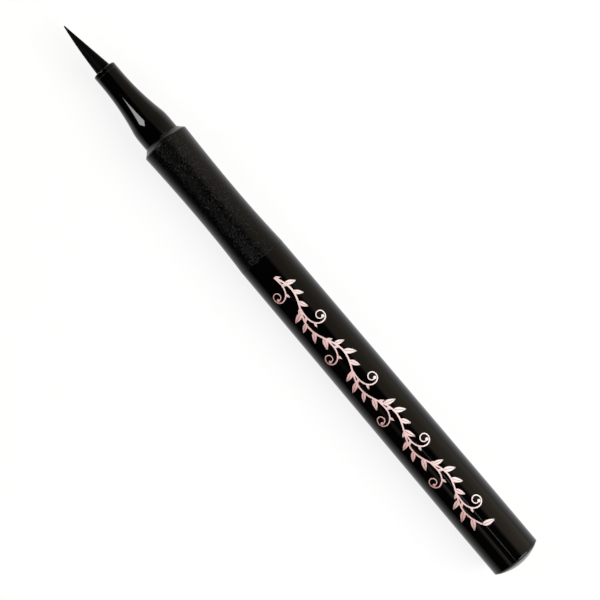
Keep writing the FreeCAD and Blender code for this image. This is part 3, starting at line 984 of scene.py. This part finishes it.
def tendrils(tree, given, dressed):
    """Sets a tendril at the start of each bay. Every other one is turned over, to the other side."""
    bay = add(tree, "ShaderNodeMath", {0: given["Length"], 1: given["Bays"]}, operation="DIVIDE")
    stride = add(tree, "ShaderNodeCombineXYZ", {"X": bay})
    starts = add(tree, "GeometryNodeMeshLine", {"Count": given["Bays"], "Offset": stride})
    index = add(tree, "GeometryNodeInputIndex")
    odd = add(tree, "ShaderNodeMath", {0: index, 1: 2}, operation="MODULO")
    over = add(tree, "ShaderNodeMath", {0: odd, 1: math.pi}, operation="MULTIPLY")
    rotation = add(tree, "ShaderNodeCombineXYZ", {"X": over})
    set_out = {"Points": starts, "Instance": dressed, "Rotation": rotation}
    return add(tree, "GeometryNodeInstanceOnPoints", set_out)


# %% [markdown]
# ### Round the barrel
#
# Drawn flat, the scroll is easy to judge and change, so it is bent last. A Shrinkwrap modifier would pull
# its narrow edges about. Turning the distance across into an angle keeps every width true.

# %% Round the barrel


def wrap(tree, flat):
    """Bends what is drawn flat round the barrel, whose radius grows a little along it."""
    position = add(tree, "GeometryNodeInputPosition")
    place = add(tree, "ShaderNodeSeparateXYZ", {"Vector": position}).outputs
    along = add(tree, "ShaderNodeMath", {0: place["X"], 1: SCROLL_START * MM}, operation="ADD")
    taper = {"Value": along, "From Min": barrel_x * MM, "From Max": land_start * MM}
    taper.update({"To Min": seam * MM, "To Max": barrel_radius * MM})
    radius = add(tree, "ShaderNodeMapRange", taper)
    around = add(tree, "ShaderNodeMath", {0: place["Y"], 1: SCROLL_CENTRE * MM}, operation="ADD")
    turn = add(tree, "ShaderNodeMath", {0: around, 1: radius}, operation="DIVIDE")
    lifted = add(tree, "ShaderNodeMath", {0: place["Z"], 1: FOIL_SINK * MM}, operation="SUBTRACT")
    out = add(tree, "ShaderNodeMath", {0: radius, 1: lifted}, operation="ADD")
    sine = add(tree, "ShaderNodeMath", {0: turn}, operation="SINE")
    cosine = add(tree, "ShaderNodeMath", {0: turn}, operation="COSINE")
    aside = add(tree, "ShaderNodeMath", {0: out, 1: sine}, operation="MULTIPLY")
    above = add(tree, "ShaderNodeMath", {0: out, 1: cosine, 2: axis_z * MM}, operation="MULTIPLY_ADD")
    bent = add(tree, "ShaderNodeCombineXYZ", {"X": along, "Y": aside, "Z": above})
    return add(tree, "GeometryNodeSetPosition", {"Geometry": flat, "Position": bent})


# %% [markdown]
# ### The whole scroll
#
# One tree holds all of it, with its length, its bays and its foil as inputs. The leaves are made real
# before the bend, because only real vertices can be moved one by one. The stem's leaves grow on the outer
# side of each swing, which is the side that the stem itself lies on. The stem's first point grows none,
# because the first tendril starts there.

# %% The whole scroll
STEM_LEAVES = 30
LARGE_LEAVES = (0.8, 1.0)  # a leaf's size, as a share of the whole leaf's


def scroll_tree():
    """Draws the scroll flat, bends it and sets its foil."""
    tree, given = new_tree("scroll", Length="Float", Bays="Int", Material="Material")
    blade = leaf(tree)
    curve = stem(tree, given)
    position = add(tree, "GeometryNodeInputPosition")
    aside = add(tree, "ShaderNodeSeparateXYZ", {"Vector": position}).outputs["Y"]
    above = add(tree, "ShaderNodeMath", {0: aside, 1: 0}, operation="GREATER_THAN")
    outer = add(tree, "ShaderNodeMapRange", {"Value": above, "To Min": -1, "To Max": 1})
    index = add(tree, "GeometryNodeInputIndex")
    grown = add(tree, "ShaderNodeMath", {0: index, 1: 0}, operation="GREATER_THAN")
    parts = [
        band(tree, curve, STEM_WIDTH, STEM_TAPER),
        leaves(tree, curve, STEM_LEAVES, blade, outer, LARGE_LEAVES, grown),
        tendrils(tree, given, dressed_tendril(tree, blade)),
    ]
    joined = add(tree, "GeometryNodeJoinGeometry", {"Geometry": parts})
    real = add(tree, "GeometryNodeRealizeInstances", {"Geometry": joined})
    end_tree(tree, soften(tree, wrap(tree, real)), given["Material"])
    return tree


# %% [markdown]
# ### Stamp it
#
# The foil is a piece of its own: it rides on the pen and replaces no CAD node. Where it starts and ends
# is printed, to compare with the barrel.

# %% Stamp it
scroll = bpy.data.objects.new("foil_scroll", bpy.data.meshes.new("foil_scroll"))
bpy.context.collection.objects.link(scroll)
scroll_length = (SCROLL_END - SCROLL_START) * MM
grow(scroll, scroll_tree(), Length=scroll_length, Bays=SCROLL_BAYS, Material=ROSE_FOIL)
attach(scroll, "pen")
print(f"foil: {len(scroll.data.polygons)} faces, {volume_of(scroll):.2f} mm3")
for axis, name in enumerate("XYZ"):
    places = [vertex.co[axis] / MM for vertex in scroll.data.vertices]
    print(f"foil along {name}: {min(places):.2f} to {max(places):.2f} mm")

# %% [markdown]
# ## The pieces inside
#
# What feeds and holds the ink needs no new shapes: the CAD nodes stay, and each gets a finish for what it
# is made of. None of it shows in a closed pen, but whoever takes the model apart will see it.
#
# ### Moulded black acetal
#
# The nib's collar and the finned collector are of acetal, a hard and slightly waxy plastic. Their moulds
# are spark-eroded, which leaves a fine, even grain. Noise at that grain's size does what an image of it
# would do.

# %% Moulded black acetal


def black_acetal():
    """Acetal, moulded matt black: slightly waxy, with the fine grain of a spark-eroded mould."""
    material, tree, shader, place = finish("moulded_black_acetal", IOR=1.48)
    cloud(tree, shader, grain(tree, place, 3 * MM), "#1E1E1F", "#262627")
    waxy, eroded = grain(tree, place, 0.4 * MM), grain(tree, place, 0.15 * MM)
    surface(tree, shader, dulled=waxy, haze=(0.42, 0.55), raised=eroded, depth=0.004 * MM)
    return material


ACETAL = black_acetal()

# %% [markdown]
# ### Wick fibre
#
# The wick is the nib's kind of fibre, in a longer rod. One drawn-out noise drives its colour, its shine
# and its relief, so that a streak that is darker is deeper too.

# %% Wick fibre


def wick_fibre():
    """A rod of bonded polyester fibre, black with ink: dull, with streaks along it."""
    material, tree, shader, place = finish("inked_wick_fibre", Specular_IOR_Level=0.3)
    streaks = grain(tree, place, FIBRE, stretch=DRAWN_OUT)
    cloud(tree, shader, streaks, "#08080A", "#16161A")
    surface(tree, shader, dulled=streaks, haze=(0.6, 0.8), raised=streaks, depth=0.03 * MM)
    return material


WICK_FIBRE = wick_fibre()

# %% [markdown]
# ### Milky polypropylene
#
# The tank and its plugs are polypropylene with no colour added. Light goes a little way in and comes out
# again beside where it entered. White alone would look like paint, so the shader scatters light below the
# surface.

# %% Milky polypropylene


def milky_polypropylene():
    """Natural polypropylene: milky, because light goes in and comes out again, with a soft gloss."""
    milk = {"IOR": 1.49, "Subsurface_Weight": 0.35, "Subsurface_Scale": 1 * MM}
    material, tree, shader, place = finish("natural_polypropylene", **milk)
    cloud(tree, shader, grain(tree, place, 4 * MM), "#DCDBD4", "#E6E5DF")
    rubbed, flow = grain(tree, place, 1 * MM), grain(tree, place, 1.5 * MM, detail=1)
    surface(tree, shader, dulled=rubbed, haze=(0.3, 0.42), raised=flow, depth=0.004 * MM)
    return material


MILKY = milky_polypropylene()

# %% [markdown]
# ### Nitrile rubber
#
# The collector's seal is a moulded ring. Rubber that has never been rubbed is dull all over. A sheen
# layer could show that, but a high roughness says it more simply.

# %% Nitrile rubber


def nitrile_rubber():
    """Moulded nitrile rubber: charcoal, dry and matt."""
    material, tree, shader, place = finish("nitrile_rubber", IOR=1.52)
    cloud(tree, shader, grain(tree, place, 0.8 * MM), "#19191A", "#222223")
    dry, skin = grain(tree, place, 0.3 * MM), grain(tree, place, 0.12 * MM)
    surface(tree, shader, dulled=dry, haze=(0.6, 0.75), raised=skin, depth=0.004 * MM)
    return material


RUBBER = nitrile_rubber()

# %% [markdown]
# ### Polished stainless steel
#
# The ball that stirs the ink is a bearing ball. It mirrors nearly everything, and only noise in its
# roughness tells that it has tumbled against the tank.

# %% Polished stainless steel


def polished_steel():
    """A polished stainless ball: bright, with the faint clouds that tumbling leaves."""
    metal = {"Base_Color": colour("#C6C5C1"), "Metallic": 1.0}
    material, tree, shader, place = finish("tumbled_stainless_steel", **metal)
    scuffs, dents = grain(tree, place, 0.5 * MM), grain(tree, place, 0.3 * MM)
    surface(tree, shader, dulled=scuffs, haze=(0.1, 0.2), raised=dents, depth=0.001 * MM)
    return material


STEEL = polished_steel()

# %% [markdown]
# ### Dress the CAD nodes
#
# A CAD node keeps its mesh, and only its material slot is filled. A table of who wears what is easier to
# check than a line for each, and a loop works through it.

# %% Dress the CAD nodes
INSIDE = {
    "nib_collar": ACETAL,
    "collector": ACETAL,
    "feed_wick": WICK_FIBRE,
    "collector_seal": RUBBER,
    "tank_front_plug": MILKY,
    "ink_tank": MILKY,
    "tank_rear_plug": MILKY,
    "mixing_ball": STEEL,
}
for node, material in INSIDE.items():
    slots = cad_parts[node].data.materials
    slots.clear()
    slots.append(material)
    print(node, "is", material.name)

# %% [markdown]
# ## Camera
#
# The pen is seen from straight above, lying from the upper left to the lower right. A long lens from
# nearly half a metre keeps both its ends the same size. The lens isn't guessed: it follows from the
# distance and from how wide a piece of the card the picture shows.

# %% Camera
CENTRE = (1.66 * MM, 0.24 * MM)
DISTANCE = 430 * MM
VIEW_WIDTH = 110.6 * MM
ROLL = math.radians(49.8)

camera = bpy.data.objects.new("camera", bpy.data.cameras.new("camera"))
bpy.context.collection.objects.link(camera)
camera.location = (*CENTRE, axis_z * MM + DISTANCE)
camera.rotation_euler = (0, 0, ROLL)
camera.data.lens = camera.data.sensor_width * DISTANCE / VIEW_WIDTH
bpy.context.scene.camera = camera
bpy.context.scene.view_settings.view_transform = "Standard"
print(f"lens {camera.data.lens:.0f} mm")

# %% [markdown]
# ## Floor
#
# The pen lies on a white card. Lit plainly, white card renders pale grey, so the card also glows, but
# only for what looks at it: the camera, and reflections in the pen. The glow lights nothing, and the
# pen's soft shadow stays. A brighter lamp would whiten the card too, but it would bleach the pen with it.
#
# In the pen, all of the card at full white would drown the dark stripes. So what is mirrored there is
# bright under the pen and far beyond its two ends, dim towards the warm wall, and dark on the other side.

# %% How bright the pen mirrors the card
GLEAM_HALF = dome_x * MM + 0.02  # metres from the pen's middle: nearer than this, it fades only sideways
GLEAM_REACH = 0.018  # metres from the pen in which the glow that it mirrors has faded to a third
FAR_GLEAM = {"From Min": 0.1, "From Max": 0.5, "To Max": 0.72}  # beyond the ends, by metres along
WALL_GLEAM = {"From Max": 0.03, "To Max": 0.22}  # towards the warm wall, by metres across


def gleam(tree, place):
    """The glow of the card in the pen: near it, far beyond its ends, and towards the wall."""
    flat = add(tree, "ShaderNodeSeparateXYZ", {"Vector": place}).outputs
    along = add(tree, "ShaderNodeMath", {0: flat["X"]}, operation="ABSOLUTE")
    beyond = add(tree, "ShaderNodeMath", {0: along, 1: GLEAM_HALF}, operation="SUBTRACT")
    past = add(tree, "ShaderNodeMath", {0: beyond, 1: 0}, operation="MAXIMUM")
    offset = add(tree, "ShaderNodeCombineXYZ", {"X": past, "Y": flat["Y"]})
    distance = add(tree, "ShaderNodeVectorMath", {0: offset}, operation="LENGTH").outputs["Value"]
    share = add(tree, "ShaderNodeMath", {0: distance, 1: -1 / GLEAM_REACH}, operation="MULTIPLY")
    near = add(tree, "ShaderNodeMath", {0: share}, operation="EXPONENT")
    sideways = add(tree, "ShaderNodeMath", {0: flat["Y"]}, operation="ABSOLUTE")
    endways = add(tree, "ShaderNodeMath", {0: along, 1: sideways}, operation="SUBTRACT")
    far = add(tree, "ShaderNodeMapRange", {"Value": endways, **FAR_GLEAM})
    beside = add(tree, "ShaderNodeMapRange", {"Value": flat["Y"], **WALL_GLEAM})
    ends = add(tree, "ShaderNodeMath", {0: near, 1: far}, operation="ADD")
    return add(tree, "ShaderNodeMath", {0: ends, 1: beside}, operation="ADD")


# %% [markdown]
# ### White card
#
# Light Path tells the shader what looks at the card. A curved sweep of card is usual under a small
# object, but seen from above a flat plane looks the same, as long as it is far wider than the picture.

# %% White card
FLOOR_HALF = 3.0  # metres
CARD, CARD_SPECK, CARD_GLOW = "#707070", "#6F6F6F", 0.85


def white_card():
    """White card that looks fully white to the camera and in reflections, and keeps shadows."""
    white = colour("#FFFFFF")
    material, tree, shader, place = finish("white_card", Roughness=0.9, IOR=1.3, Emission_Color=white)
    cloud(tree, shader, grain(tree, place, 4 * MM), CARD_SPECK, CARD)
    rays = add(tree, "ShaderNodeLightPath").outputs
    either = {0: rays["Is Glossy Ray"], 1: rays["Is Transmission Ray"]}
    mirrored = add(tree, "ShaderNodeMath", either, operation="MAXIMUM")
    shine = add(tree, "ShaderNodeMath", {0: mirrored, 1: gleam(tree, place)}, operation="MULTIPLY")
    seen = {0: rays["Is Camera Ray"], 1: CARD_GLOW, 2: shine}
    glow = add(tree, "ShaderNodeMath", seen, operation="MULTIPLY_ADD")
    tree.links.new(glow.outputs[0], shader.inputs["Emission Strength"])
    return material


floor = bpy.data.objects.new("floor", bpy.data.meshes.new("floor"))
bpy.context.collection.objects.link(floor)
floor_corners = [(x * FLOOR_HALF, y * FLOOR_HALF, 0) for x, y in ((-1, -1), (1, -1), (1, 1), (-1, 1))]
floor.data.from_pydata(floor_corners, [], [(0, 1, 2, 3)])
floor.data.materials.append(white_card())
print("the floor is", 2 * FLOOR_HALF, "m wide")

# %% [markdown]
# ## Light
#
# A gloss black object shows only what it reflects, so the light is drawn as a still-life photographer
# sets it. The key panel hangs where only the flare of the nose cone mirrors it, as a teardrop. The fill
# hangs where nothing but the barrel's rear edge does, and brings the light up to a plain level. Two dim
# slits draw the fine lines along the barrel. An image of a studio could light it instead, but it couldn't
# be moved lamp by lamp.

# %% Panels
PANELS = {  # a corner and two sides in metres, and the level: at 1, the panel is as bright as white card
    "key": ((-0.322, -0.475, 0.8), (-0.372, 0.237, 0.308), (-0.425, -0.666, 0), 7.2),
    "fill": ((0.36, 0.1, 0.8), (1, 0, 0), (0, 1, 0), 8.6),
    "near_slit": ((0.09, -0.131, 0.8), (0.12, 0, 0), (0, 0.022, 0), 2.2),
    "far_slit": ((0.11, -0.575, 0.8), (0.16, 0, 0), (0, 0.03, 0), 0.6),
}


def panel(name, corner, side, other_side, level):
    """An area lamp between two sides that leave a corner. It shines away from their cross product."""
    corner, side, other_side = Vector(corner), Vector(side), Vector(other_side)
    light = bpy.data.lights.new(name, "AREA")
    light.shape = "RECTANGLE"
    light.size, light.size_y = side.length, other_side.length
    light.energy = level * math.pi * side.length * other_side.length
    holder = bpy.data.objects.new(name, light)
    bpy.context.collection.objects.link(holder)
    across, along = side.normalized(), other_side.normalized()
    turn = Matrix((across, along, across.cross(along))).transposed()
    holder.matrix_world = Matrix.LocRotScale(corner + (side + other_side) / 2, turn, None)
    print(f"{name}: {light.size:.2f} by {light.size_y:.2f} m, {light.energy:.2f} W")


for name, place in PANELS.items():
    panel(name, *place)

# %% [markdown]
# ### The warm wall
#
# The soft bloom along the pen's +Y side is a warm, dimly lit wall, and a narrow strip of the same light
# lies on its other side. Boards with lamps on them could stand there. The world does it with less: its
# light depends on the direction alone, so a few ramps over that direction draw where the wall begins,
# brightens and fades.

# %% Ramps over the direction
RAMPS = {  # the axis, from where to where along it, and from which share to which
    "rising": ("Z", 0, 0.725, 1.7, 1),  # the wall is brightest at the horizon
    "lit": ("X", -0.13, 0.16, 0.7, 1.7),  # and it is lit from the end plug's side
    "near_edge": ("Y", -0.44, -0.52, 0, 1),
    "far_edge": ("Y", -0.74, -0.66, 0, 0.22),  # which gives the strip its level too
    "growing": ("X", -0.03, 0.1, 0, 1),  # the strip is dark towards the nib
}

world = bpy.data.worlds.new("studio")
bpy.context.scene.world = world
world.use_nodes = True
sky = world.node_tree
seen = add(sky, "ShaderNodeTexCoord").outputs["Generated"]
direction = add(sky, "ShaderNodeSeparateXYZ", {"Vector": seen}).outputs
ramps = {}
for name, (axis, start, stop, low, high) in RAMPS.items():
    ramp = {"Value": direction[axis], "From Min": start, "From Max": stop}
    ramps[name] = add(sky, "ShaderNodeMapRange", {**ramp, "To Min": low, "To Max": high})
print("ramps:", ", ".join(ramps))

# %% [markdown]
# ### The world's light
#
# The wall is a smooth step towards +Y, a little nearer at the nib's end, times the two ramps that
# brighten it. The strip is what lies between two edges. A Color Ramp node can hold one such ramp, but
# Math nodes multiply and add them.

# %% The world's light
WALL, DARK, WALL_LEVEL = "#FFEED6", 0.006, 0.26
WALL_SKEW = -0.38  # how much nearer the wall's edge is towards the nib
WALL_EDGE = {"From Min": 0.2, "From Max": 0.5, "To Min": DARK, "To Max": WALL_LEVEL}

skew = {0: direction["X"], 1: WALL_SKEW, 2: direction["Y"]}
aslant = add(sky, "ShaderNodeMath", skew, operation="MULTIPLY_ADD")
edge = {"Value": aslant, **WALL_EDGE}
wall = add(sky, "ShaderNodeMapRange", edge, interpolation_type="SMOOTHSTEP")
raised = add(sky, "ShaderNodeMath", {0: wall, 1: ramps["rising"]}, operation="MULTIPLY")
edges = {0: ramps["near_edge"], 1: ramps["far_edge"]}
between = add(sky, "ShaderNodeMath", edges, operation="MULTIPLY")
strip = add(sky, "ShaderNodeMath", {0: between, 1: ramps["growing"]}, operation="MULTIPLY")
wall_and_strip = {0: raised, 1: ramps["lit"], 2: strip}
strength = add(sky, "ShaderNodeMath", wall_and_strip, operation="MULTIPLY_ADD")
background = sky.nodes["Background"]
background.inputs["Color"].default_value = colour(WALL)
sky.links.new(strength.outputs[0], background.inputs["Strength"])
print("the world has", len(sky.nodes), "nodes")
